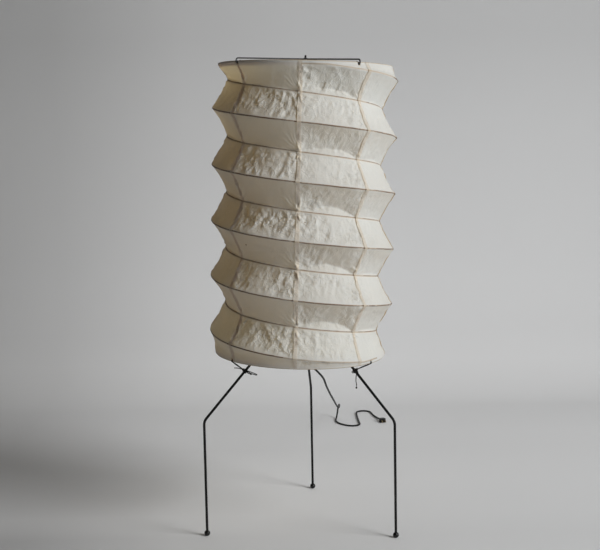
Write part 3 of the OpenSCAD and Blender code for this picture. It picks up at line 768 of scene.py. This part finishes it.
def paper_radius(turn, depth):
    """The paper's radius, with how crumpled and how creased it is there."""
    smooth = sum(
        weight * surface_radius(turn, depth + shift)[0]
        for weight, shift in ((0.25, -CREASE_ROUND), (0.5, 0), (0.25, CREASE_ROUND))
    )
    share, down_facing = surface_radius(turn, depth)[1:]
    x, sheet = across_sheet(turn)
    to_seam = (1 - np.abs(x)) * GORE_ANGLE / 2 * math.radians(1) * MEAN_R
    to_rib = np.minimum(share, 1 - share) * SLOPE_LENGTH
    clear = (1 - np.exp(-((to_rib / RIB_CLEAR) ** 2))) * clear_of_rims(depth, RIM_CLEAR)
    near_seam = CRUMPLE_SHARE + CRUMPLE_RAISED * np.exp(-to_seam / CRUMPLE_REACH)
    amount = np.where(down_facing, np.array(CRUMPLE_DOWN)[sheet], np.array(CRUMPLE_UP)[sheet])
    amount = CRUMPLE_SEAM + (amount - CRUMPLE_SEAM) * ease(to_seam / CRUMPLE_BLEND)
    amount = amount * near_seam * (PATCH_MEAN + PATCH_SPREAD * rolling(turn, depth, *PATCHES))
    relief = sum(height * facets(turn, depth, *shape) for height, *shape in FACET_RELIEF)
    for height, cell, seed in SOFT_RELIEF:
        relief = relief - height * np.abs(rolling(turn, depth, cell, seed))
    streaks = STREAK_HEIGHT * rolling(turn, depth, *STREAKS)
    creases = crease_relief(turn, depth)
    rough = amount * relief + streaks + creases
    return smooth + clear * rough, clear * amount, clear * np.clip(creases / FULL_CREASE, 0, 1)


# Millimetres in a metre, and the gaps in them that stand for no cane and for a hem, where the ring inside
# gets the same tint and painted shadow as a cane
MM = 1000
NO_RIB = 99.0
HEM_GAP = 1.2


def rib_gap(turn, depth):
    """How far a point lies above or below the nearest bamboo helix, in millimetres."""
    row = np.floor(2 * (depth / PITCH - turn / TURN))
    gap = np.full(depth.shape, NO_RIB)
    for k in (-1, 0, 1, 2):
        helix = PITCH * (turn / TURN + (row + k) / 2)
        seen = (helix > -1e-6) & (helix < SHADE_H)
        off = np.abs(depth - np.clip(helix, RIB_LIFT, SHADE_H - RIB_LIFT)) * MM
        gap = np.where(seen, np.minimum(gap, off), gap)
    return gap


# ---- the paper sheets ----

def sheet_depths(sheet):
    """Depths of a sheet's rows at its middle, set so that each helix lies on a row there."""
    per_half = round(PITCH / 2 / GRID)
    step = PITCH / 2 / per_half
    first = np.mod(PITCH * (sheet + 0.5) / GORES, step)
    inside = np.arange(first, SHADE_H, step)
    inside = inside[(inside > HEM_H + step / 2) & (inside < SHADE_H - HEM_H - step / 2)]
    return np.concatenate([[HEM_H / 2, HEM_H], inside, [SHADE_H - HEM_H, SHADE_H - HEM_H / 2]])


HEM_ROLL = (20, 60, 100, 140, 180)
HEM_DROPS = (0.35, 0.7, 1.0)
HEM_TUCK = 0.0006


def hem_rows(turns, end_z, way):
    """Rows that roll the paper over an end ring and a little way down its inside; way is 1 at the top."""
    rows = []
    for a in HEM_ROLL:
        radius = RING_R + HEM_R * math.cos(math.radians(a))
        z = end_z + way * HEM_R * math.sin(math.radians(a))
        rows.append(polar(radius, turns + SEAM_ANGLE, z))
    wavy = 0.0012 * np.sin(turns * 1.7) + 0.0008 * np.sin(turns * 4.3 + 1)
    for share in HEM_DROPS:
        radius = RING_R - HEM_R - HEM_TUCK * share
        drop = share * (HEM_INSIDE + wavy)
        rows.append(polar(radius, turns + SEAM_ANGLE, end_z - way * drop))
    return rows


# Slits in the hems for the crossbar's curls and the ties: their angles and half their width
SLITS = {
    "top": ([132.0, -48.0, 35.0, -145.0], 0.0036),
    "bottom": ([-50.0, 53.0, 175.0], 0.0032),
}


def near_slit(turns, end):
    """Which of these angles lie in a slit."""
    angles, reach = SLITS[end]
    near = np.zeros(len(turns), bool)
    for a in angles:
        gap = np.abs(np.mod(turns + SEAM_ANGLE - a + TURN / 2, TURN) - TURN / 2)
        near |= gap * math.radians(1) * RING_R < reach
    return near


# A sheet's outer free edge: how wide it is, how far it wanders in degrees and how high it stands
EDGE_REACH = 0.004
EDGE_WANDER = 0.35
EDGE_HEIGHT = 0.0010
# A groove beside each left lap
GROOVE_OFF = 0.001
GROOVE_WIDTH = 0.0016
GROOVE_DEPTH = 0.0009
# A sheet's rows turn from the helix's slope to level over this reach
LEVEL_REACH = 0.05


def lap_step(from_left, from_right):
    """How far a sheet steps out at its left lap and in at its right one."""
    out = LAP_LIFT * ease((LAP + LAP_EASE - from_left) / LAP_EASE)
    return out - LAP_LIFT * ease((LAP + LAP_EASE - from_right) / LAP_EASE)


def sheet_places(sheet):
    """A sheet's columns, the angles and depths between its hems, and a map of its outer edge."""
    start = sheet * GORE_ANGLE
    lap_angle = math.degrees(LAP / MEAN_R)
    count = int(round((GORE_ANGLE + 2 * lap_angle) * math.radians(1) * RIDGE_R / GRID))
    turns = np.linspace(start - lap_angle, start + GORE_ANGLE + lap_angle, count + 1)
    depths = sheet_depths(sheet)
    slope = PITCH * (turns - start - GORE_ANGLE / 2) / TURN
    inside = ease((depths - HEM_H) / LEVEL_REACH) * ease((SHADE_H - HEM_H - depths) / LEVEL_REACH)
    depth = depths[:, None] + slope[None] * inside[:, None]
    turn = np.broadcast_to(turns[None], depth.shape)
    edge = np.exp(-(turn - turns[0]) * math.radians(1) * MEAN_R / EDGE_REACH)
    return turns, turn + edge * EDGE_WANDER * facets(turn, depth, 0.021, 11, 0), depth, edge


def sheet_body(sheet, turn, depth, edge):
    """A sheet's points between its hems, the step of its laps at each column, and maps of its surface."""
    start = sheet * GORE_ANGLE
    radius, crumple, crease = paper_radius(turn, depth)
    from_left = (turn - start) * math.radians(1) * MEAN_R
    from_right = (start + GORE_ANGLE - turn) * math.radians(1) * MEAN_R
    radius += lap_step(from_left, from_right)
    clear = clear_of_rims(depth, RIM_FADE)
    radius += edge * clear * EDGE_HEIGHT * (1 + facets(turn, depth, 0.017, 13, 0))
    radius -= clear * GROOVE_DEPTH * np.exp(-(((from_left - LAP - GROOVE_OFF) / GROOVE_WIDTH) ** 2))
    points = polar(radius, turn + SEAM_ANGLE, TOP_Z - depth)
    lap = np.maximum(np.abs(from_left) < LAP, np.abs(from_right) < LAP)
    return points, lap_step(from_left[0], from_right[0]), {"crumple": crumple, "crease": crease, "lap": lap}


def sheet_faces(turns, rows, hem):
    """Square faces between all points, but for those in a slit of a hem."""
    columns = len(turns)
    i, j = np.meshgrid(np.arange(rows - 1), np.arange(columns - 1), indexing="ij")
    middles = (turns[1:] + turns[:-1]) / 2
    at_top = i < hem + 3
    at_low = i > rows - hem - 5
    cut = (at_top & near_slit(middles, "top")[None]) | (at_low & near_slit(middles, "bottom")[None])
    a = (i * columns + j)[~cut]
    return np.stack([a, a + columns, a + columns + 1, a + 1], -1)


def paper_sheet(sheet):
    """One sheet, glued to the canes and rolled over both rings, with maps for its material."""
    turns, turn, depth, edge = sheet_places(sheet)
    body, step, maps = sheet_body(sheet, turn, depth, edge)
    step_out = polar(step, turns + SEAM_ANGLE, 0.0)
    top = [row + step_out for row in hem_rows(turns, TOP_Z, 1)][::-1]
    low = [row + step_out for row in hem_rows(turns, LOW_Z, -1)]
    grid = np.concatenate([np.array(top), body, np.array(low)])
    shape = grid.shape[:2]
    inside = slice(len(top), shape[0] - len(low))
    faces = sheet_faces(turns, shape[0], len(top))
    name = f"paper_sheet_{sheet + 1}"
    piece = new_piece(name, leaned(grid.reshape(-1, 3)), faces, PAPER, "shade")
    gap = np.full(shape, NO_RIB)
    # Hems get the cane's tint and painted shadow from the ring inside
    gap[3:-3] = HEM_GAP
    gap[inside] = rib_gap(turn, depth)
    set_attribute(piece, "rib_gap", gap)
    for attribute, at_hems in (("crumple", 0.0), ("crease", 0.0), ("lap", 1.0)):
        values = np.full(shape, at_hems)
        values[inside] = maps[attribute]
        set_attribute(piece, attribute, values)
    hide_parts(f"paper_gore_{sheet + 1}")
    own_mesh(piece)
    return piece


# ---- bamboo ----

CANE_STEP = 2.5
CANE_SIDES = 10
# A cane lies this far under the paper near its ends, also a little above and below
CANE_END = 0.03
CANE_UNDER_PAPER = 0.0006
CANE_SHIFT = 0.0015
# The swellings at a cane's nodes: their distance, place, half length and share of the radius
NODE_SPACING = 0.21
NODE_START = 0.1
NODE_LENGTH = 0.0035
NODE_SWELLING = 0.16


def bamboo_strip(name, node, even, seat):
    """A thin cane that winds up the inside of the paper, with a slight swelling at its nodes."""
    start = 0 if even else TURN / 2
    turns = np.arange(0, TURN * HELIX_TURNS + 4, CANE_STEP)
    depth = np.clip(PITCH * turns / TURN, RIB_LIFT, SHADE_H - RIB_LIFT)
    radius = row_radius(np.full_like(turns, 0 if even else 1), PITCH * turns / TURN) - seat
    near_end = np.minimum(depth, SHADE_H - depth) < CANE_END
    for shift in (-CANE_SHIFT, 0, CANE_SHIFT):
        paper = surface_radius(turns + start, np.clip(depth + shift, HEM_H, SHADE_H - HEM_H))[0]
        radius = np.where(near_end, np.minimum(radius, paper - RIB_R - CANE_UNDER_PAPER), radius)
    wander = 0.00015 * np.sin(turns * 0.31) + 0.0001 * np.sin(turns * 0.83 + 2)
    path = polar(radius, turns + start + SEAM_ANGLE, TOP_Z - depth + wander)
    along = turns * math.radians(1) * MEAN_R
    from_node = (np.mod(along, NODE_SPACING) - NODE_START) / NODE_LENGTH
    points, faces = tube(path, RIB_R * (1 + NODE_SWELLING * np.exp(-from_node ** 2)), CANE_SIDES)
    piece = new_piece(name, leaned(points), faces, BAMBOO, "shade")
    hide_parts(node)
    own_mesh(piece)
    return piece


# ---- cord ----

def free_cord():
    """The cord from the strain relief to the plug."""
    path = spline(CORD_POINTS, CORD_STEPS)
    points, faces = tube(path, CORD_D / 2, 16)
    piece = new_piece("mains_cord", points, faces, CORD, "root")
    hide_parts("cord_free")
    length = float(np.linalg.norm(np.diff(path, axis=0), axis=1).sum())
    return piece


# ---- ties ----

# Each tie's angle on the ring and on its leg, and how far apart its strands are
TIES = {
    "left": {"ring": -50.0, "leg": -64.9, "open": 0.5},
    "right": {"ring": 53.0, "leg": 55.1, "open": 2.4},
    "rear": {"ring": 175.0, "leg": 175.1, "open": 1.0},
}
LEG_RISE = math.radians(45.6)
LEG_R = 0.0035
KNEE_Z = 0.316
TIE_DROP = 0.039
TIE_GAP = 0.0003
# Shares of the way from ring to knot where a strand is led
STRAND_STOPS = np.array([0.3, 0.6, 0.86])
WRAPS = 3

# A bow loop and two tails of each knot, as millimetres to the right, down and forward of the knot
TIE_ENDS = {
    "left": [
        [(6, 1, 5), (15, 4, 7), (28, 9, 8), (36, 12.5, 8), (38.5, 14.5, 8), (34, 14.5, 8),
         (22, 10.5, 7), (9, 4, 5), (1, 1, 2)],
        [(5, 3, 5), (12, 8, 7), (17, 11, 8), (22, 12, 8)],
        [(-6, -2, 3), (-14, -4.5, 5), (-23, -5, 5)],
    ],
    "right": [
        [(-4, 0, 4), (-9, 2, 6), (-13, 5, 7), (-13.5, 8, 7), (-10.5, 9, 7), (-6, 6, 6),
         (-1, 2, 4), (0, 1, 2)],
        [(-1, 8, 5), (-3, 20, 7), (-3.5, 32, 7), (-2, 42, 6), (-2.5, 50, 6)],
        [(1, 5, 4), (3, 11, 6), (3, 17, 6)],
    ],
    "rear": [
        [(5, 1, 4), (12, 4, 6), (19, 8, 7), (21, 11, 7), (17, 12, 7), (10, 8, 6), (3, 3, 4), (0, 1, 2)],
        [(-2, 6, 5), (-6, 15, 7), (-7, 26, 7), (-6, 34, 6)],
        [(-5, 0, 4), (-12, 2, 6), (-18, 6, 6)],
    ],
}
# Right and forward at each knot: 1 as seen from the front, -1 as seen from behind
TIE_SIDE = {"left": 1.0, "right": 1.0, "rear": -1.0}
# The small knot at the end of a tail: heights and radii of its rings
END_KNOT_Z = (0.0026, 0.0018, 0.0006, -0.0006, -0.0018, -0.0026)
END_KNOT_R = (0.0008, 0.0019, 0.0025, 0.0025, 0.0019, 0.0008)


def leg_frame(tie):
    """The tie's point on its leg, with the directions along, out from and across the leg."""
    z = LOW_Z - TIE_DROP
    rho = FOOT_CIRCLE_R - (z - KNEE_Z) / math.tan(LEG_RISE)
    a = math.radians(TIES[tie]["leg"])
    outward = np.array([math.sin(a), -math.cos(a), 0])
    across = np.array([math.cos(a), math.sin(a), 0])
    up = np.array([0, 0, 1])
    along = -math.cos(LEG_RISE) * outward + math.sin(LEG_RISE) * up
    off = math.sin(LEG_RISE) * outward + math.cos(LEG_RISE) * up
    return rho * outward + z * up, along, off, across


def off_leg(tie, strings):
    """The tie's point on its leg, this many string widths above the rod."""
    at, _, off, _ = leg_frame(tie)
    return at + (LEG_R + STRING_D * strings) * off


def ring_loop(angle, side):
    """A strand's turn round the bottom ring, at one side of the tie."""
    ring_at = polar(RING_R, angle, LOW_Z)
    outward = polar(1.0, angle, 0.0)
    across = np.array([-outward[1], outward[0], 0])
    reach = RING_ROD_R + TIE_GAP + STRING_D / 2
    loop = []
    for t in np.radians(np.linspace(-80, 260, 18)):
        turn = math.cos(t) * outward + math.sin(t) * np.array([0, 0, 1])
        loop.append(leaned(ring_at + reach * turn + across * side * STRING_D * 0.52))
    return loop[::-1] if side > 0 else loop


def tie_string(tie):
    """A double strand from the knot on the leg, up and round the bottom ring."""
    knot = off_leg(tie, 1.2)
    apart = 1 + TIES[tie]["open"] * np.sin(np.pi * STRAND_STOPS)
    parts = []
    for side in (-1, 1):
        loop = ring_loop(TIES[tie]["ring"], side)
        low = loop[-1]
        way = (knot - low) / np.linalg.norm(knot - low)
        spread = np.cross(way, [0, 0, 1.0]) * side * STRING_D * 0.5
        run = [low + (knot - low) * f + spread * k * (1.3 - f) for f, k in zip(STRAND_STOPS, apart)]
        parts.append(twisted(spline(loop + run, 5)))
    points, faces = joined(parts)
    piece = new_piece(f"tie_strands_{tie}", points, faces, STRING, "lower_ring")
    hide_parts(f"tie_string_{tie}")
    return piece


def wraps(tie):
    """The string's turns round the leg."""
    at, along, off, across = leg_frame(tie)
    reach = LEG_R + TIE_GAP + STRING_D / 2
    path = []
    for t in np.linspace(0, WRAPS * TURN, 49):
        a = math.radians(t)
        place = at + along * STRING_D * 1.02 * (t / TURN - WRAPS / 2)
        path.append(place + reach * (math.cos(a) * off + math.sin(a) * across))
    return spline(path, 3)


def overhand(tie):
    """A trefoil of string on top of the wraps."""
    _, along, off, across = leg_frame(tie)
    path = []
    for t in np.linspace(0.3, 2 * math.pi - 0.3, 20):
        x = math.sin(t) + 2 * math.sin(2 * t)
        y = math.cos(t) - 2 * math.cos(2 * t)
        z = -math.sin(3 * t)
        path.append(off_leg(tie, 1.9) + 0.0011 * (x * across + y * along * 0.8) + 0.0012 * z * off)
    return spline(path, 4)


def tie_knot(tie):
    """Three wraps on the leg, an overhand knot, a bow loop and two tails, one with a knotted end."""
    knot = off_leg(tie, 1.9)
    side = TIE_SIDE[tie]
    paths = [wraps(tie), overhand(tie)]
    for run in TIE_ENDS[tie]:
        steps = [np.array([side * right, -side * forward, -down]) / MM for right, down, forward in run]
        paths.append(spline([knot] + [knot + step for step in steps], 6))
    right, down, forward = TIE_ENDS[tie][1][-1]
    end = knot + np.array([side * right, -side * forward, -down]) / MM
    end_knot = tube([end + np.array([0, 0, z]) for z in END_KNOT_Z], np.array(END_KNOT_R))
    points, faces = joined([twisted(path) for path in paths] + [end_knot])
    piece = new_piece(f"tie_bow_{tie}", points, faces, STRING, "root")
    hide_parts(f"tie_knot_{tie}")
    return piece


# ---- floor, wall, lights and camera ----

WALL_Y = 1.85
STAGE_REACH = 14.0
TONED_FLOOR = 10
SWEEP_R = 0.45
STAGE_GREY = 0.78

# Painted light and shade on the backdrop, as multipliers of its grey that brighten and darken it the way
# the lamps' falloff would: along it, from the front of the floor to the top of the wall, and across it
PAINTED_LIGHT_ALONG = [
    (-2.4, 0.86), (-2.0, 0.89), (-1.7, 0.96), (-1.3, 1.06), (-0.9, 1.13), (-0.3, 1.13), (0.0, 1.12),
    (0.2, 1.06), (0.47, 1.04), (0.85, 0.98), (1.17, 0.925), (1.53, 0.83), (2.4, 0.80),
]
PAINTED_LIGHT_ACROSS = [
    (-2.0, 0.92), (-1.3, 0.98), (-1.05, 0.97), (-0.8, 1.04), (-0.5, 1.12), (0.0, 1.09), (0.6, 0.975),
    (1.3, 0.885), (2.0, 0.87),
]
# Painted light and painted shadow across two zones of the near floor: where each starts, where it is full,
# and its tones. The first is painted light left of the lamp, where its shadow falls; the second is a
# painted shadow on the near left floor.
PAINTED_FLOOR_LIGHT_AND_SHADOW = [
    (0.75, 0.35, [(-1.2, 1.00), (-0.75, 1.02), (-0.5, 1.11), (-0.35, 1.19), (0.0, 1.09), (0.6, 1.04),
                  (1.2, 1.00)]),
    (0.04, -0.14, [(-1.2, 0.79), (-0.75, 0.79), (-0.5, 0.83), (-0.35, 0.86), (-0.1, 0.94), (0.3, 0.98),
                   (1.2, 0.98)]),
]


def painted_light_ramp(m, value, tones):
    """The backdrop's grey times the painted light and shade at this place."""
    first, last = tones[0][0], tones[-1][0]
    share = m.ranged(value, first, last, 0, 1)
    stops = [((at - first) / (last - first), (STAGE_GREY * tone,) * 3) for at, tone in tones]
    return m.ramp(share, stops)


def with_painted_light(m, grey, tone):
    """One painted tone on top of another, with the backdrop's grey counted once."""
    return m.mixed(1.0, m.mixed(1.0, grey, tone, "MULTIPLY"), (1 / STAGE_GREY,) * 3, "MULTIPLY")


def stage_material():
    m = Nodes("backdrop")
    m.set(Roughness=0.9, Specular_IOR_Level=0.1)
    place = m.add("ShaderNodeSeparateXYZ")
    m.link(m.place, place.inputs["Vector"])
    from_wall = m.ranged(place.outputs["Y"], WALL_Y - TONED_FLOOR, WALL_Y, -TONED_FLOOR, 0)
    along = m.sum(place.outputs["Z"], from_wall)
    across = place.outputs["X"]
    # The backdrop's colour carries painted light and shade, not only its own even grey
    grey = with_painted_light(m, painted_light_ramp(m, along, PAINTED_LIGHT_ALONG), painted_light_ramp(m, across, PAINTED_LIGHT_ACROSS))
    # Painted light left of the lamp, then a painted shadow on the near left floor
    for start, full, tones in PAINTED_FLOOR_LIGHT_AND_SHADOW:
        near = m.ranged(place.outputs["Y"], start, full, 0, 1)
        grey = m.mixed(near, grey, with_painted_light(m, grey, painted_light_ramp(m, across, tones)))
    m.colour(grey)
    clear = m.blended(m.add("ShaderNodeBsdfTransparent").outputs["BSDF"])
    m.link(m.add("ShaderNodeNewGeometry").outputs["Backfacing"], clear)
    return m.material


def build_stage():
    """A floor that sweeps up into a wall; the wall can be seen through from behind."""
    r = STAGE_REACH
    profile = [(-r, 0.0)]
    for a in np.radians(np.linspace(0, 90, 17)):
        profile.append((WALL_Y + SWEEP_R * (math.sin(a) - 1), SWEEP_R * (1 - math.cos(a))))
    profile.append((WALL_Y, r))
    points = [(x, y, z) for y, z in profile for x in (-r, r)]
    faces = [(2 * k, 2 * k + 1, 2 * k + 3, 2 * k + 2) for k in range(len(profile) - 1)]
    mesh = bpy.data.meshes.new("sweep")
    mesh.from_pydata(points, [], faces)
    mesh.polygons.foreach_set("use_smooth", [True] * len(faces))
    mesh.materials.append(stage_material())
    in_scene("sweep", mesh)


# Each lamp's place, aim, size, power and colour
LAMPS = {
    "key": ((2.69, -1.55, 1.93), (0, 0, 0.8), 1.35, 57, (0.97, 0.985, 1.0)),
    "window": ((4.90, -4.11, 1.93), (0, 0.3, 0.6), 2.6, 100, (0.98, 0.99, 1.0)),
    "top": ((4.22, -2.64, 4.98), (0, 0.3, 0.6), 2.6, 80, (0.98, 0.99, 1.0)),
}
ROOM_LIGHT = (1.0, 0.90, 0.74, 1)
ROOM_STRENGTH = 0.046
ROOM_SEEN = (0.50, 0.50, 0.50, 1)


def area_light(name, place, aim, size, power, colour):
    light = bpy.data.lights.new(name, "AREA")
    light.shape = "RECTANGLE"
    light.size = size
    light.size_y = size
    light.energy = power
    light.color = colour
    lamp = in_scene(name, light)
    lamp.location = place
    lamp.rotation_mode = "QUATERNION"
    lamp.rotation_quaternion = (Vector(aim) - Vector(place)).to_track_quat("-Z", "Y")


def build_lights():
    for name, lamp in LAMPS.items():
        area_light(name, *lamp)
    world = bpy.data.worlds.new("studio")
    world.use_nodes = True
    tree = world.node_tree
    soft = tree.nodes["Background"]
    soft.inputs["Color"].default_value = ROOM_LIGHT
    soft.inputs["Strength"].default_value = ROOM_STRENGTH
    seen = tree.nodes.new("ShaderNodeBackground")
    seen.inputs["Color"].default_value = ROOM_SEEN
    seen.inputs["Strength"].default_value = 1.0
    both = tree.nodes.new("ShaderNodeMixShader")
    path = tree.nodes.new("ShaderNodeLightPath")
    tree.links.new(path.outputs["Is Camera Ray"], both.inputs["Fac"])
    tree.links.new(soft.outputs["Background"], both.inputs[1])
    tree.links.new(seen.outputs["Background"], both.inputs[2])
    tree.links.new(both.outputs["Shader"], tree.nodes["World Output"].inputs["Surface"])
    bpy.context.scene.world = world


FOCAL_PIXELS = 1119.0
PHOTO_WIDTH = 600.0
SENSOR_WIDTH = 36.0
CAMERA_PLACE = (-0.0019, -3.067, 1.016)
CAMERA_PITCH = math.radians(6.03)
CAMERA_ROLL = math.radians(-1.08)


def build_camera():
    data = bpy.data.cameras.new("camera")
    data.sensor_width = SENSOR_WIDTH
    data.lens = FOCAL_PIXELS * SENSOR_WIDTH / PHOTO_WIDTH
    data.clip_start = 0.05
    data.clip_end = 100
    camera = in_scene("camera", data)
    ahead = Vector((0, math.cos(CAMERA_PITCH), -math.sin(CAMERA_PITCH)))
    level_up = Vector((0, math.sin(CAMERA_PITCH), math.cos(CAMERA_PITCH)))
    level_right = Vector((1, 0, 0))
    right = math.cos(CAMERA_ROLL) * level_right + math.sin(CAMERA_ROLL) * level_up
    up = math.cos(CAMERA_ROLL) * level_up - math.sin(CAMERA_ROLL) * level_right
    turn = Matrix((right, up, -ahead)).transposed().to_4x4()
    camera.matrix_world = Matrix.Translation(Vector(CAMERA_PLACE)) @ turn
    bpy.context.scene.camera = camera


# ---- the whole lamp ----

bpy.context.scene.view_settings.view_transform = "Standard"
build_camera()
build_stage()
build_lights()
finish_carried_over()
free_cord()
bamboo_strip("ridge_strip", "ridge_rib", True, RIDGE_SEAT)
bamboo_strip("valley_strip", "valley_rib", False, VALLEY_SEAT)
for number in range(GORES):
    paper_sheet(number)
for tie in TIES:
    tie_string(tie)
    tie_knot(tie)
